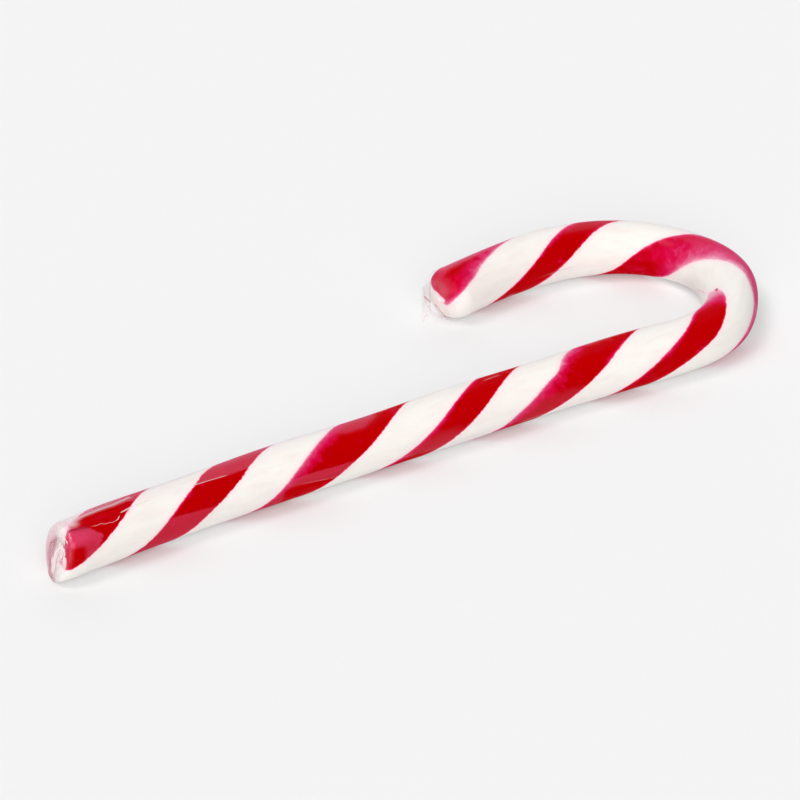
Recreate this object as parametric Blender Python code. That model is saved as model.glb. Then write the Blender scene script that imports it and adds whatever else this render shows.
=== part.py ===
"""Film-wrapped candy cane, lying on its side.

One closed solid: the outer form of a hand-rolled sugar rod, bent into a hook at
one end, inside a tight clear film whose ends are folded flat over the rod's two
end faces.  The rod's centreline lies in one level plane.  The stem runs along +X
and the hook curls to +Y, back over the stem.  The underside is slightly flat,
where the rod lay while it set, and it rests on z = 0.

The centreline is worked out from its curvature: a soft bow near the foot, a
straight stem, a second soft bow before the bend, the round bend itself and a
relaxing return leg.  The section is round and swells a little along the rod.
In the bend the sugar is pinched thicker on the inside and pressed flatter on
the outside.  At each end the section rounds off, gathers sideways and ends in
an upright fold of film.
"""

import math
from dataclasses import dataclass

import bmesh
import bpy

MM = 0.001

# ---- rod section -----------------------------------------------------------
ROD_RADIUS = 5.0 * MM          # film included
SECTION_SIDES = 32
UNDERSIDE_FLAT = 0.1 * MM      # depth taken off the round where the rod rests
SWELL = 0.08 * MM              # slow change of radius along a hand-rolled rod
SWELL_PITCH = 36.0 * MM
SWELL_PEAK = 46.0 * MM         # from the foot to the first thick place

# ---- centreline, measured along the rod from the foot -----------------------
ROD_LENGTH = 219.2 * MM
STEM_BEARING = math.radians(6.4)   # heading at the foot; the bow turns it to +X
FOOT_BOW_RADIUS = 275.0 * MM       # the stem bows to the right over this much
FOOT_BOW_LENGTH = 62.6 * MM
NECK_BOW_RADIUS = 375.0 * MM       # and again just before the bend
NECK_BOW_START = 80.6 * MM
NECK_BOW_EASE = 30.0 * MM
BEND_START = 119.8 * MM
BEND_EASE = 19.2 * MM
BEND_RADIUS = 18.3 * MM
RELAX_START = 158.9 * MM           # the return leg opens out from here
RELAX_LENGTH = 60.2 * MM
TIP_CURL = 0.13                    # share of the bend's curvature left at the tip

# ---- how bending changed the section ----------------------------------------
PINCH_PLACE = 152.0 * MM       # middle of the inner pinch
PINCH_REACH = 15.0 * MM        # it fades out this far to each side
PINCH_DEPTH = 1.0 * MM
OUTER_FLATS = (                # place along the rod and depth of each flat
    (148.0 * MM, 0.45 * MM),
    (167.5 * MM, 0.40 * MM),
    (191.0 * MM, 0.15 * MM),
)
FLAT_REACH = 9.0 * MM

# ---- rounded ends and the film folded over them -------------------------------
END_ROUND_LENGTH = 2.4 * MM    # along the rod, from full section to the end face
END_ROUND_DEPTH = 1.6 * MM     # how much of the radius the rounding takes
FACE_BULGE = 0.6 * MM          # the gathered film stands off the end face
FOLD_HALF_THICKNESS = 0.3 * MM
FOLD_SKEW_SHARE = 0.3          # a fold's edge follows little of its end's skew
PLEATS = 8                     # soft pleats where the film gathers
PLEAT_DEPTH = 0.16 * MM

# ---- how finely the surface is divided ---------------------------------------
STEM_STEP = 3.2 * MM
BEND_STEP = 1.7 * MM
INTEGRATION_STEP = 0.25 * MM
ROUND_RINGS = 4
GATHER_RINGS = 3
SHARP_ANGLE = math.radians(35.0)


@dataclass(frozen=True)
class RodEnd:
    """One end of the rod: its skewed face and the upright fold of film on it."""

    place: float             # length along the rod of the end face
    outward: int             # -1 at the foot, +1 at the tip
    fold_reach: float        # how far the fold stands out along the rod
    fold_half_height: float
    fold_right: float        # how far the fold stands to the right of the middle
    fold_droop: float        # how far the fold's edge hangs down
    skew_left: float         # lead along the rod for each unit to the left
    skew_up: float           # and for each unit up
    slump_down: float        # how far the face slumped down
    slump_right: float       # and to the right


FOOT = RodEnd(
    place=0.0,
    outward=-1,
    fold_reach=0.8 * MM,
    fold_half_height=2.9 * MM,
    fold_right=0.0,
    fold_droop=0.0,
    skew_left=0.26,
    skew_up=0.30,
    slump_down=0.9 * MM,
    slump_right=0.5 * MM,
)
TIP = RodEnd(
    place=ROD_LENGTH,
    outward=1,
    fold_reach=2.3 * MM,
    fold_half_height=3.7 * MM,
    fold_right=1.3 * MM,
    fold_droop=0.5 * MM,
    skew_left=0.0,
    skew_up=0.0,
    slump_down=0.0,
    slump_right=0.0,
)


def ease(x):
    """Smooth step from 0 to 1."""
    x = min(max(x, 0.0), 1.0)
    return x * x * (3.0 - 2.0 * x)


def curvature(s):
    """Turn per metre of the centreline at length s; positive turns left."""
    into_bend = ease((s - BEND_START) / BEND_EASE)
    relax = ease((s - RELAX_START) / RELAX_LENGTH)
    foot_bow = (1.0 - ease(s / FOOT_BOW_LENGTH)) / FOOT_BOW_RADIUS
    neck_bow = ease((s - NECK_BOW_START) / NECK_BOW_EASE) / NECK_BOW_RADIUS
    bend = into_bend * (1.0 - (1.0 - TIP_CURL) * relax) / BEND_RADIUS
    return bend - foot_bow - neck_bow * (1.0 - into_bend)


def trace_centreline():
    """Walk along the rod; return a function giving (x, y, heading) at length s."""
    steps = math.ceil(ROD_LENGTH / INTEGRATION_STEP)
    step = ROD_LENGTH / steps
    walk = [(0.0, 0.0, STEM_BEARING)]
    for index in range(steps):
        x, y, heading = walk[-1]
        turn = curvature((index + 0.5) * step) * step
        middle = heading + 0.5 * turn
        walk.append((x + step * math.cos(middle), y + step * math.sin(middle), heading + turn))

    def at(s):
        place = min(max(s / step, 0.0), steps - 1e-9)
        index = int(place)
        share = place - index
        x, y, heading = (a + (b - a) * share for a, b in zip(walk[index], walk[index + 1]))
        beyond = s - min(max(s, 0.0), ROD_LENGTH)
        return x + beyond * math.cos(heading), y + beyond * math.sin(heading), heading

    return at


def bump(distance, reach):
    """1 in the middle, fading smoothly to 0 at `reach`."""
    return ease(1.0 - abs(distance) / reach)


def radius_at(s):
    """Outer radius with the slow swell of a hand-rolled rod."""
    return ROD_RADIUS + SWELL * math.cos(2.0 * math.pi * (s - SWELL_PEAK) / SWELL_PITCH)


def body_stations():
    """Lengths of the full sections between the two rounded ends."""
    stations = [END_ROUND_LENGTH]
    while stations[-1] < ROD_LENGTH - END_ROUND_LENGTH - STEM_STEP:
        s = stations[-1]
        bent = ease((s - BEND_START) / BEND_EASE) * (1.0 - ease((s - RELAX_START) / RELAX_LENGTH))
        stations.append(s + STEM_STEP + (BEND_STEP - STEM_STEP) * bent)
    stations.append(ROD_LENGTH - END_ROUND_LENGTH)
    return stations


def section(line, s, left, right, up, middle, side=0.0, pleat=0.0, skew=(0.0, 0.0)):
    """One closed ring across the rod.

    The ring starts on the left of travel and runs over the top.  `left`, `right`
    and `up` are its half sizes, `middle` the height of its centre and `side` its
    shift to the right.  `pleat` is the share taken off where the film gathers.
    `skew` moves each point along the rod by a share of its place to the left and
    by a share of its place above the middle.
    """
    x, y, heading = line(s)
    along_x, along_y = math.cos(heading), math.sin(heading)
    ring = []
    for index in range(SECTION_SIDES):
        angle = 2.0 * math.pi * index / SECTION_SIDES
        gather = 1.0 - pleat * (0.5 + 0.5 * math.cos(PLEATS * angle))
        half_width = left if math.cos(angle) > 0.0 else right
        across = half_width * gather * math.cos(angle) - side
        height = up * gather * math.sin(angle)
        along = skew[0] * across + skew[1] * height
        ring.append((x + along * along_x - across * along_y,
                     y + along * along_y + across * along_x,
                     max(middle + height, 0.0)))
    return ring


def full_section(line, s):
    """The rod's own section, resting on its flat."""
    radius = radius_at(s)
    pinch = PINCH_DEPTH * bump(s - PINCH_PLACE, PINCH_REACH)
    flat = sum(depth * bump(s - place, FLAT_REACH) for place, depth in OUTER_FLATS)
    return section(line, s, radius + pinch, radius - flat, radius, radius - UNDERSIDE_FLAT)


def rounding_sections(line, end):
    """Rings from the full rod round to the end face."""
    radius = radius_at(end.place)
    rings = []
    for index in range(1, ROUND_RINGS + 1):
        share = index / ROUND_RINGS
        angle = 0.5 * math.pi * share
        s = end.place - end.outward * END_ROUND_LENGTH * (1.0 - math.sin(angle))
        size = radius - END_ROUND_DEPTH * (1.0 - math.cos(angle))
        slump = 1.0 - math.cos(angle)
        middle = radius - UNDERSIDE_FLAT - end.slump_down * slump
        rings.append(section(line, s, size, size, size, middle, end.slump_right * slump,
                             PLEAT_DEPTH / size * share,
                             (end.skew_left * share, end.skew_up * share)))
    return rings


def fold_sections(line, end):
    """Rings that gather from the end face into the upright fold of film."""
    face = radius_at(end.place) - END_ROUND_DEPTH
    middle = radius_at(end.place) - UNDERSIDE_FLAT
    skew = (end.skew_left, end.skew_up)
    rings = []
    for index in range(1, GATHER_RINGS + 1):
        share = index / GATHER_RINGS
        s = end.place + end.outward * FACE_BULGE * math.sin(0.5 * math.pi * share)
        width = face + (FOLD_HALF_THICKNESS - face) * share
        up = face + (end.fold_half_height - face) * share
        right = end.slump_right + (end.fold_right - end.slump_right) * share
        rings.append(section(line, s, width, width, up, middle - end.slump_down * (1.0 - share),
                             right, PLEAT_DEPTH / up, skew))
    edge = end.place + end.outward * (FACE_BULGE + end.fold_reach)
    edge_skew = tuple(FOLD_SKEW_SHARE * part for part in skew)
    rings.append(section(line, edge, FOLD_HALF_THICKNESS, FOLD_HALF_THICKNESS,
                         end.fold_half_height, middle - end.fold_droop, end.fold_right,
                         skew=edge_skew))
    return rings


def wrapped_cane_rings():
    """All rings from the foot's fold to the tip's fold."""
    line = trace_centreline()
    foot = rounding_sections(line, FOOT) + fold_sections(line, FOOT)
    body = [full_section(line, s) for s in body_stations()]
    tip = rounding_sections(line, TIP) + fold_sections(line, TIP)
    return foot[::-1] + body + tip


def centred(rings):
    """Move the rings so that their box stands on z = 0 around the origin."""
    xs = [point[0] for ring in rings for point in ring]
    ys = [point[1] for ring in rings for point in ring]
    middle_x = 0.5 * (min(xs) + max(xs))
    middle_y = 0.5 * (min(ys) + max(ys))
    return [[(x - middle_x, y - middle_y, z) for x, y, z in ring] for ring in rings]


def skin_mesh(name, rings):
    """Close the rings into one body."""
    mesh = bpy.data.meshes.new(name)
    bm = bmesh.new()
    loops = [[bm.verts.new(point) for point in ring] for ring in rings]
    for ring, following in zip(loops, loops[1:]):
        for side in range(SECTION_SIDES):
            other = (side + 1) % SECTION_SIDES
            bm.faces.new((ring[side], ring[other], following[other], following[side]))
    bm.faces.new(loops[0])
    bm.faces.new(loops[-1])
    bmesh.ops.recalc_face_normals(bm, faces=bm.faces)
    bm.to_mesh(mesh)
    bm.free()
    mesh.shade_smooth()
    mesh.set_sharp_from_angle(angle=SHARP_ANGLE)
    return mesh


def wrapped_sugar_material():
    """Warm white boiled sugar under a tight clear film."""
    material = bpy.data.materials.new("wrapped_sugar")
    material.use_nodes = True
    shader = material.node_tree.nodes["Principled BSDF"]
    shader.inputs["Base Color"].default_value = (0.90, 0.80, 0.76, 1.0)
    shader.inputs["Roughness"].default_value = 0.15
    shader.inputs["Metallic"].default_value = 0.0
    return material


def clear_scene():
    """Start from an empty scene."""
    for item in list(bpy.data.objects):
        bpy.data.objects.remove(item, do_unlink=True)


def main():
    """Build the wrapped cane."""
    clear_scene()
    mesh = skin_mesh("wrapped_cane", centred(wrapped_cane_rings()))
    mesh.materials.append(wrapped_sugar_material())
    cane = bpy.data.objects.new("wrapped_cane", mesh)
    bpy.context.scene.collection.objects.link(cane)


main()
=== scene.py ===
"""Looks for a film-wrapped candy cane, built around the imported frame.

Two pieces stand for the frame's one solid: the striped boiled-sugar rod, and the
clear wrapper film that lies over it in long flat facets and gathers at both ends.
Both are swept along the rod's centreline by one Geometry Nodes rule.  Lengths are
in metres.  "Travel" is the length along the rod from the foot, and "turn" the angle
round it: 0 on the left of travel, 90 degrees on top, 180 on the right.
"""

import logging
import math
from dataclasses import dataclass, field
from enum import Enum

import bpy
import numpy as np
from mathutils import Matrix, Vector

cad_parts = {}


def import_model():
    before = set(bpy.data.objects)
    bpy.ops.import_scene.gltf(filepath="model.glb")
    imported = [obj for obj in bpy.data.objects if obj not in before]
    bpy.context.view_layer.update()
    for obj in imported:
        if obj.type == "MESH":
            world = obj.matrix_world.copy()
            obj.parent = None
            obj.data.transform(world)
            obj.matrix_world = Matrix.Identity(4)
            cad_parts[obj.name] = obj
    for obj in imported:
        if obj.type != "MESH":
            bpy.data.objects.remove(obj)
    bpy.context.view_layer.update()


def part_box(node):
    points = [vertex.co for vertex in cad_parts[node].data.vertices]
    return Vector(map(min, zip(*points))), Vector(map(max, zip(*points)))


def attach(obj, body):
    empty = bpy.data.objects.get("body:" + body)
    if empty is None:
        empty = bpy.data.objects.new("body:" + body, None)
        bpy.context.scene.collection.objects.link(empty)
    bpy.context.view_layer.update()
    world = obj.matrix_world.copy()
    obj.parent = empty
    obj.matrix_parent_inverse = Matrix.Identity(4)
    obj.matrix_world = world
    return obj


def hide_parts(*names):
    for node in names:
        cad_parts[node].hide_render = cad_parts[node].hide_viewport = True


MM = 0.001
FULL_TURN = 360.0
NO_SIDE_LIMIT = (-1.0, -1.0)  # metres, far off the cane
FAR_AWAY = 1e3                # in half widths of a fold
CHANNEL_TOP = 255.0
SRGB_TOE = 0.04045            # the sRGB curve is straight below this
SRGB_TOE_SLOPE = 12.92
SRGB_OFFSET = 0.055
SRGB_POWER = 2.4
LOG = logging.getLogger("candy_cane")
NODE_NAME = "wrapped_cane"
BODY_NAME = "root"


class Slot(Enum):
    """The record's material slots."""

    SUGAR = "striped_sugar"
    FILM = "clear_film"


class Strand(Enum):
    """The two red strands that are twisted into the rod."""

    FIRST = "first"
    SECOND = "second"


# ---------------------------------------------------------------------------
# small shared functions
# ---------------------------------------------------------------------------


def linear(hex_colour: str) -> tuple[float, float, float, float]:
    """Turn an sRGB hex colour to linear RGBA.

    Args:
        hex_colour: six hex digits.

    Returns:
        Linear red, green, blue and an alpha of 1.
    """
    parts = [int(hex_colour[place:place + 2], 16) / CHANNEL_TOP for place in (0, 2, 4)]
    curve = [c / SRGB_TOE_SLOPE if c <= SRGB_TOE
             else ((c + SRGB_OFFSET) / (1.0 + SRGB_OFFSET)) ** SRGB_POWER for c in parts]
    return (curve[0], curve[1], curve[2], 1.0)


def add_node(tree: bpy.types.NodeTree, kind: str, sockets: dict | None = None, **settings):
    """Add one node with its settings, socket values and links.

    Args:
        tree: the node tree that gets the node.
        kind: the node's type name.
        sockets: for each input, by name or place, a value or an output socket to link.
        **settings: properties of the node.

    Returns:
        The new node.
    """
    made = tree.nodes.new(kind)
    for name, value in settings.items():
        setattr(made, name, value)
    for key, value in (sockets or {}).items():
        if isinstance(value, bpy.types.NodeSocket):
            tree.links.new(value, made.inputs[key])
        else:
            made.inputs[key].default_value = value
    return made


def ease(x: np.ndarray | float) -> np.ndarray:
    """Smooth step from 0 to 1."""
    x = np.clip(x, 0.0, 1.0)
    return x * x * (3.0 - 2.0 * x)


def bump(distance: np.ndarray | float, reach: float) -> np.ndarray:
    """1 in the middle, fading smoothly to 0 at `reach`."""
    return ease(1.0 - np.abs(distance) / reach)


def nearest_on(spots: np.ndarray, start: np.ndarray, end: np.ndarray) -> tuple[np.ndarray, ...]:
    """How each spot lies to a straight line.

    Args:
        spots: points, flat or solid, one row each.
        start: the line's start.
        end: its end.

    Returns:
        Distance to the line; share of its length at the nearest place; and the way there.
    """
    way = end - start
    rel = spots - start
    share = np.clip(rel @ way / (way @ way), 0.0, 1.0)
    off = rel - share[:, None] * way
    return np.linalg.norm(off, axis=1), share, off


def depth_inside(spots: np.ndarray, corners: np.ndarray) -> np.ndarray:
    """Distance inside a polygon, negative outside it."""
    nearest = np.full(len(spots), np.inf)
    within = np.zeros(len(spots), bool)
    for start, end in zip(corners, np.roll(corners, -1, axis=0)):
        nearest = np.minimum(nearest, nearest_on(spots, start, end)[0])
        crosses = (start[1] > spots[:, 1]) != (end[1] > spots[:, 1])
        rise = (end[1] - start[1]) or 1.0
        meets = start[0] + (spots[:, 1] - start[1]) * (end[0] - start[0]) / rise
        within ^= crosses & (spots[:, 0] < meets)
    return np.where(within, nearest, -nearest)


def read_field(piece: bpy.types.Object, label: str) -> np.ndarray:
    """The values of one of a piece's point attributes."""
    values = np.zeros(len(piece.data.vertices), np.float32)
    piece.data.attributes[label].data.foreach_get("value", values)
    return values.astype(float)


def read_vectors(piece: bpy.types.Object, label: str) -> np.ndarray:
    """A vector field stored on a piece's points, one row a point."""
    store = piece.data.attributes[label].data
    values = np.empty(3 * len(store), np.float32)
    store.foreach_get("vector", values)
    return values.reshape(-1, 3).astype(float)


def write_field(piece: bpy.types.Object, label: str, values: np.ndarray) -> None:
    """Give a piece a point attribute."""
    store = piece.data.attributes.new(label, "FLOAT", "POINT")
    store.data.foreach_set("value", values.astype(np.float32))


# ---------------------------------------------------------------------------
# the rod's form, the same named sizes as the frame's source
# ---------------------------------------------------------------------------


@dataclass(frozen=True)
class RodEnd:
    """One end of the rod: its slumped face and the upright fold of film on it."""

    place: float
    outward: int
    fold_reach: float
    fold_half_height: float
    fold_right: float
    fold_droop: float
    skew_left: float
    skew_up: float
    slump_down: float
    slump_right: float
    sugar_length: float       # length and depth of the sugar's own rounding
    sugar_depth: float
    gather_from: float        # share of the rounding where the film starts to gather
    gather_highlight: float       # how strong the painted highlights on the gathered film are
    gather_loose: float       # and how free of the sugar


@dataclass(frozen=True)
class RodLine:
    """The centreline, given by how sharply it turns, and the rod's outer section."""

    length: float = 219.2 * MM
    bearing: float = math.radians(6.4)
    foot_bow_radius: float = 275.0 * MM
    foot_bow_length: float = 62.6 * MM
    neck_bow_radius: float = 375.0 * MM
    neck_bow_start: float = 80.6 * MM
    neck_bow_ease: float = 30.0 * MM
    bend_start: float = 119.8 * MM
    bend_ease: float = 19.2 * MM
    bend_radius: float = 18.3 * MM
    relax_start: float = 158.9 * MM
    relax_length: float = 60.2 * MM
    tip_curl: float = 0.13
    radius: float = 5.0 * MM
    underside_flat: float = 0.1 * MM
    swell: float = 0.08 * MM
    swell_pitch: float = 36.0 * MM
    swell_peak: float = 46.0 * MM
    pinch_place: float = 152.0 * MM
    pinch_reach: float = 15.0 * MM
    pinch_depth: float = 1.0 * MM
    outer_flats: tuple[tuple[float, float], ...] = (
        (148.0 * MM, 0.45 * MM),
        (167.5 * MM, 0.40 * MM),
        (191.0 * MM, 0.15 * MM),
    )
    flat_reach: float = 9.0 * MM
    walk_step: float = 0.25 * MM

    def curvature(self, s: np.ndarray) -> np.ndarray:
        """Turn per metre at each length along the rod; positive turns left."""
        into_bend = ease((s - self.bend_start) / self.bend_ease)
        relax = ease((s - self.relax_start) / self.relax_length)
        foot_bow = (1.0 - ease(s / self.foot_bow_length)) / self.foot_bow_radius
        neck_bow = ease((s - self.neck_bow_start) / self.neck_bow_ease) / self.neck_bow_radius
        bend = into_bend * (1.0 - (1.0 - self.tip_curl) * relax) / self.bend_radius
        return bend - foot_bow - neck_bow * (1.0 - into_bend)

    def trace(self, stations: np.ndarray) -> tuple[np.ndarray, np.ndarray, np.ndarray]:
        """Walk along the rod.

        Args:
            stations: lengths from the foot; those past an end run straight on.

        Returns:
            x, y and heading at each station, with the foot at the origin.
        """
        steps = math.ceil(self.length / self.walk_step)
        step = self.length / steps
        turns = self.curvature((np.arange(steps) + 0.5) * step) * step
        heading = self.bearing + np.concatenate(([0.0], np.cumsum(turns)))
        middle = heading[:-1] + 0.5 * turns
        x = np.concatenate(([0.0], np.cumsum(step * np.cos(middle))))
        y = np.concatenate(([0.0], np.cumsum(step * np.sin(middle))))
        marks = np.arange(steps + 1) * step
        inside = np.clip(stations, 0.0, self.length)
        beyond = stations - inside
        way = np.interp(inside, marks, heading)
        return (np.interp(inside, marks, x) + beyond * np.cos(way),
                np.interp(inside, marks, y) + beyond * np.sin(way), way)

    def radius_at(self, s: np.ndarray | float) -> np.ndarray:
        """Outer radius with the slow swell of a hand-rolled rod."""
        return self.radius + self.swell * np.cos(
            2.0 * math.pi * (s - self.swell_peak) / self.swell_pitch)

    def left_at(self, s: np.ndarray) -> np.ndarray:
        """Half width on the inside of the bend, where the sugar is pinched thicker."""
        return self.radius_at(s) + self.pinch_depth * bump(s - self.pinch_place, self.pinch_reach)

    def right_at(self, s: np.ndarray) -> np.ndarray:
        """Half width on the outside of the bend, where the sugar is pressed flatter."""
        flats = sum(depth * bump(s - place, self.flat_reach) for place, depth in self.outer_flats)
        return self.radius_at(s) - flats

    def origin(self, high: Vector) -> tuple[float, float]:
        """Where the foot lies in the frame, from the frame's highest corner.

        Args:
            high: the corner that the bend's outer side touches in x and in y.

        Returns:
            x and y of the rod's foot.
        """
        stations = np.arange(0.0, self.length, self.walk_step)
        x, y, way = self.trace(stations)
        right = self.right_at(stations)
        return (high.x - float(np.max(x + right * np.sin(way))),
                high.y - float(np.max(y - right * np.cos(way))))


FOOT = RodEnd(
    place=0.0,
    outward=-1,
    fold_reach=0.8 * MM,
    fold_half_height=2.9 * MM,
    fold_right=0.0,
    fold_droop=0.0,
    skew_left=0.26,
    skew_up=0.30,
    slump_down=0.9 * MM,
    slump_right=0.5 * MM,
    sugar_length=2.4 * MM,
    sugar_depth=1.6 * MM,
    gather_from=0.78,
    gather_highlight=1.0,
    gather_loose=1.0,
)
TIP = RodEnd(
    place=219.2 * MM,
    outward=1,
    fold_reach=2.3 * MM,
    fold_half_height=3.7 * MM,
    fold_right=1.3 * MM,
    fold_droop=0.5 * MM,
    skew_left=0.0,
    skew_up=0.0,
    slump_down=0.0,
    slump_right=0.0,
    sugar_length=4.0 * MM,
    sugar_depth=4.2 * MM,
    gather_from=0.6,
    gather_highlight=0.12,
    gather_loose=0.35,
)


@dataclass
class Rings:
    """Sections along the rod, one row of numbers for each."""

    travel: list[float] = field(default_factory=list)
    left: list[float] = field(default_factory=list)
    right: list[float] = field(default_factory=list)
    up: list[float] = field(default_factory=list)
    middle: list[float] = field(default_factory=list)
    shift: list[float] = field(default_factory=list)
    skew_left: list[float] = field(default_factory=list)
    skew_up: list[float] = field(default_factory=list)
    gather: list[float] = field(default_factory=list)

    def add(self, travel: float, left: float, right: float, up: float, middle: float,
            side: float = 0.0, skew: tuple[float, float] = (0.0, 0.0), gather: float = 0.0) -> None:
        """Add one section.

        Args:
            travel: length along the rod.
            left: half width to the left of travel.
            right: half width to the right.
            up: half height.
            middle: height of the section's middle.
            side: shift to the right.
            skew: lead along the rod for each unit to the left, and up.
            gather: 0 for a smooth section, up to 1 where the film is gathered.
        """
        for store, value in ((self.travel, travel), (self.left, left), (self.right, right),
                             (self.up, up), (self.middle, middle), (self.shift, -side),
                             (self.skew_left, skew[0]), (self.skew_up, skew[1]),
                             (self.gather, gather)):
            store.append(float(value))

    def joined(self, *others: "Rings") -> "Rings":
        """These sections followed by others."""
        whole = Rings()
        for name in vars(whole):
            setattr(whole, name, sum((getattr(part, name) for part in (self, *others)), []))
        return whole

    def backwards(self) -> "Rings":
        """The same sections in the opposite order."""
        turned = Rings()
        for name in vars(turned):
            setattr(turned, name, getattr(self, name)[::-1])
        return turned


# ---------------------------------------------------------------------------
# the sweep rule
# ---------------------------------------------------------------------------

GUIDE_SIZES = tuple((label, "FLOAT") for label in (
    "travel", "left", "right", "up", "shift", "skew_left", "skew_up", "gather"))
GUIDE_WAYS = tuple((label, "FLOAT_VECTOR") for label in ("spot", "forward", "leftward"))


@dataclass
class SweepRule:
    """Geometry Nodes that roll a flat grid round the rod's centreline.

    The guide is a row of points, one for each section, that carry the section's sizes.
    Crease lines are drawn on the unrolled film; each lifts the film into a low tent.
    """

    name: str = "sweep_round_centreline"
    inputs: tuple[tuple[str, str], ...] = (
        ("Guide", "Geometry"), ("Creases", "Object"), ("Material", "Material"),
        ("Stations", "Int"), ("Sides", "Int"), ("Mean radius", "Float"),
        ("Ripple", "Float"), ("Ripple scale", "Vector"), ("Crumple", "Float"),
        ("Crumple scale", "Vector"), ("Lowest", "Vector"), ("Seed", "Float"),
    )
    seam: float = -0.5 * math.pi        # the grid's two edges meet under the rod
    merge: float = 1e-7
    ripple_detail: float = 1.0
    ripple_roughness: float = 0.4
    crumple_detail: float = 2.0
    crumple_roughness: float = 0.5

    def build(self) -> bpy.types.NodeTree:
        """Make the node group.

        Returns:
            The group, with named inputs for its sizes.
        """
        tree = bpy.data.node_groups.new(self.name, "GeometryNodeTree")
        for label, kind in self.inputs:
            tree.interface.new_socket(label, in_out="INPUT", socket_type="NodeSocket" + kind)
        tree.interface.new_socket("Geometry", in_out="OUTPUT",
                                  socket_type="NodeSocketGeometry")
        given = add_node(tree, "NodeGroupInput").outputs

        # a flat grid: one column for each section, one row for each side
        rows = add_node(tree, "ShaderNodeMath", {0: given["Sides"], 1: 1.0}, operation="ADD")
        grid = add_node(tree, "GeometryNodeMeshGrid", {
            "Vertices X": given["Stations"], "Vertices Y": rows.outputs[0]})
        share = add_node(tree, "ShaderNodeSeparateXYZ", {0: grid.outputs["UV Map"]})
        angle = add_node(tree, "ShaderNodeMapRange", {
            0: share.outputs[1], 3: self.seam, 4: self.seam + 2.0 * math.pi}).outputs[0]
        last = add_node(tree, "ShaderNodeMath", {0: given["Stations"], 1: 1.0},
                        operation="SUBTRACT")
        column = add_node(tree, "ShaderNodeMath", {0: share.outputs[0], 1: last.outputs[0]},
                          operation="MULTIPLY")
        column = add_node(tree, "ShaderNodeMath", {0: column.outputs[0]}, operation="ROUND")
        of_guide = {}
        for label, kind in GUIDE_SIZES + GUIDE_WAYS:
            named = add_node(tree, "GeometryNodeInputNamedAttribute", {"Name": label},
                             data_type=kind)
            of_guide[label] = add_node(tree, "GeometryNodeSampleIndex", {
                "Geometry": given["Guide"], "Value": named.outputs[0],
                "Index": column.outputs[0]}, data_type=kind, domain="POINT").outputs[0]
        arc = add_node(tree, "ShaderNodeMath", {0: angle, 1: given["Mean radius"]},
                       operation="MULTIPLY")
        flat_spot = add_node(tree, "ShaderNodeCombineXYZ", {
            0: of_guide["travel"], 1: arc.outputs[0]})

        # creases: the film leaves the sugar a little way off each crease and runs
        # straight to it, so its height is a parabola of the distance left
        creases = add_node(tree, "GeometryNodeObjectInfo", {"Object": given["Creases"]},
                           transform_space="ORIGINAL").outputs["Geometry"]
        near = add_node(tree, "GeometryNodeProximity", {
            0: creases, "Sample Position": flat_spot.outputs[0]}, target_element="EDGES")
        nearest = add_node(tree, "GeometryNodeSampleNearest", {
            "Geometry": creases, "Sample Position": flat_spot.outputs[0]}, domain="POINT")
        named = add_node(tree, "GeometryNodeInputNamedAttribute", {"Name": "width"},
                         data_type="FLOAT")
        width = add_node(tree, "GeometryNodeSampleIndex", {
            "Geometry": creases, "Value": named.outputs[0], "Index": nearest.outputs[0]},
            data_type="FLOAT", domain="POINT")
        reach = add_node(tree, "ShaderNodeMath", {
            0: width.outputs[0], 1: near.outputs["Distance"]}, operation="SUBTRACT")
        reach = add_node(tree, "ShaderNodeMath", {0: reach.outputs[0], 1: 0.0},
                         operation="MAXIMUM").outputs[0]
        square = add_node(tree, "ShaderNodeMath", {0: reach, 1: reach}, operation="MULTIPLY")
        across_rod = add_node(tree, "ShaderNodeMath", {0: given["Mean radius"], 1: 2.0},
                              operation="MULTIPLY")
        tent = add_node(tree, "ShaderNodeMath", {0: square.outputs[0], 1: across_rod.outputs[0]},
                        operation="DIVIDE")

        # slow ripples: stretched along the rod, because the film was pulled tight
        cosine = add_node(tree, "ShaderNodeMath", {0: angle}, operation="COSINE").outputs[0]
        sine = add_node(tree, "ShaderNodeMath", {0: angle}, operation="SINE").outputs[0]
        around = add_node(tree, "ShaderNodeCombineXYZ", {1: cosine, 2: sine})
        along_axis = add_node(tree, "ShaderNodeCombineXYZ", {0: of_guide["travel"]})
        straight = add_node(tree, "ShaderNodeVectorMath", {
            0: around.outputs[0], 1: given["Mean radius"], 2: along_axis.outputs[0]},
            operation="MULTIPLY_ADD")
        spread = add_node(tree, "ShaderNodeVectorMath", {
            0: straight.outputs[0], 1: given["Ripple scale"]}, operation="MULTIPLY")
        noise = add_node(tree, "ShaderNodeTexNoise", {
            "Vector": spread.outputs[0], "W": given["Seed"], "Scale": 1.0,
            "Detail": self.ripple_detail, "Roughness": self.ripple_roughness},
            noise_dimensions="4D", normalize=False)
        lift = add_node(tree, "ShaderNodeMath", {
            0: noise.outputs[0], 1: given["Ripple"], 2: tent.outputs[0]},
            operation="MULTIPLY_ADD").outputs[0]

        # the place in the section: to the left, and up
        on_left = add_node(tree, "ShaderNodeMath", {0: cosine, 1: 0.0}, operation="GREATER_THAN")
        wide = add_node(tree, "ShaderNodeMix", {
            0: on_left.outputs[0], 2: of_guide["right"], 3: of_guide["left"]}, data_type="FLOAT")
        wide = add_node(tree, "ShaderNodeMath", {0: wide.outputs[0], 1: lift}, operation="ADD")
        tall = add_node(tree, "ShaderNodeMath", {0: of_guide["up"], 1: lift}, operation="ADD")
        across = add_node(tree, "ShaderNodeMath", {
            0: wide.outputs[0], 1: cosine, 2: of_guide["shift"]},
            operation="MULTIPLY_ADD").outputs[0]
        height = add_node(tree, "ShaderNodeMath", {0: tall.outputs[0], 1: sine},
                          operation="MULTIPLY").outputs[0]

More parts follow.
